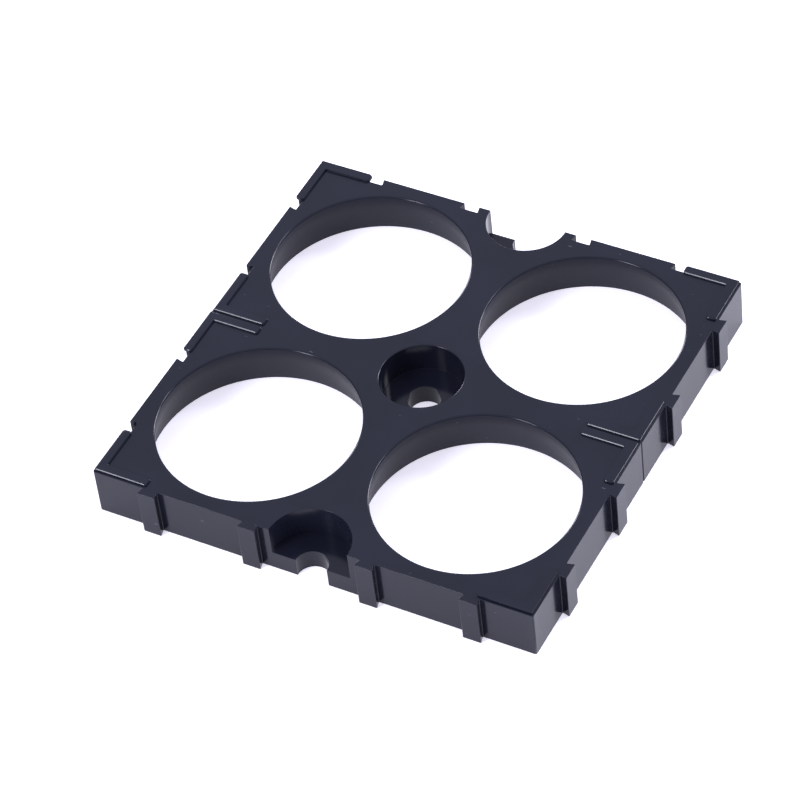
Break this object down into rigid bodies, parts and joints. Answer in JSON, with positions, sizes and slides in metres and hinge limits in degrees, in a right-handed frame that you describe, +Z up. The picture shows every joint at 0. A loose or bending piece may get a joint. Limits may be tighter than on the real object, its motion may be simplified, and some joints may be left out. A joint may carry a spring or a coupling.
{
  "type": "battery cell holder bracket",
  "caption": "Square moulded plate with flared round openings for a block of cylindrical cells, counterbored screw places and dovetail edges that join it to more plates.",
  "frame": {"origin": "centre of the middle screw hole, at the underside of the plate", "axes": "+Z up along the middle screw hole, out of the counterbored top face; +X towards the right side and -Y towards the front side, the two that carry the dovetail tabs"},
  "size_m": [0.0713, 0.0713, 0.0083],
  "materials": {
    "black_abs": "satin injection-moulded ABS, near black with a cool grey cast"
  },
  "bodies": {
    "root": {"cell_bracket": "black_abs"}
  },
  "joints": []
}
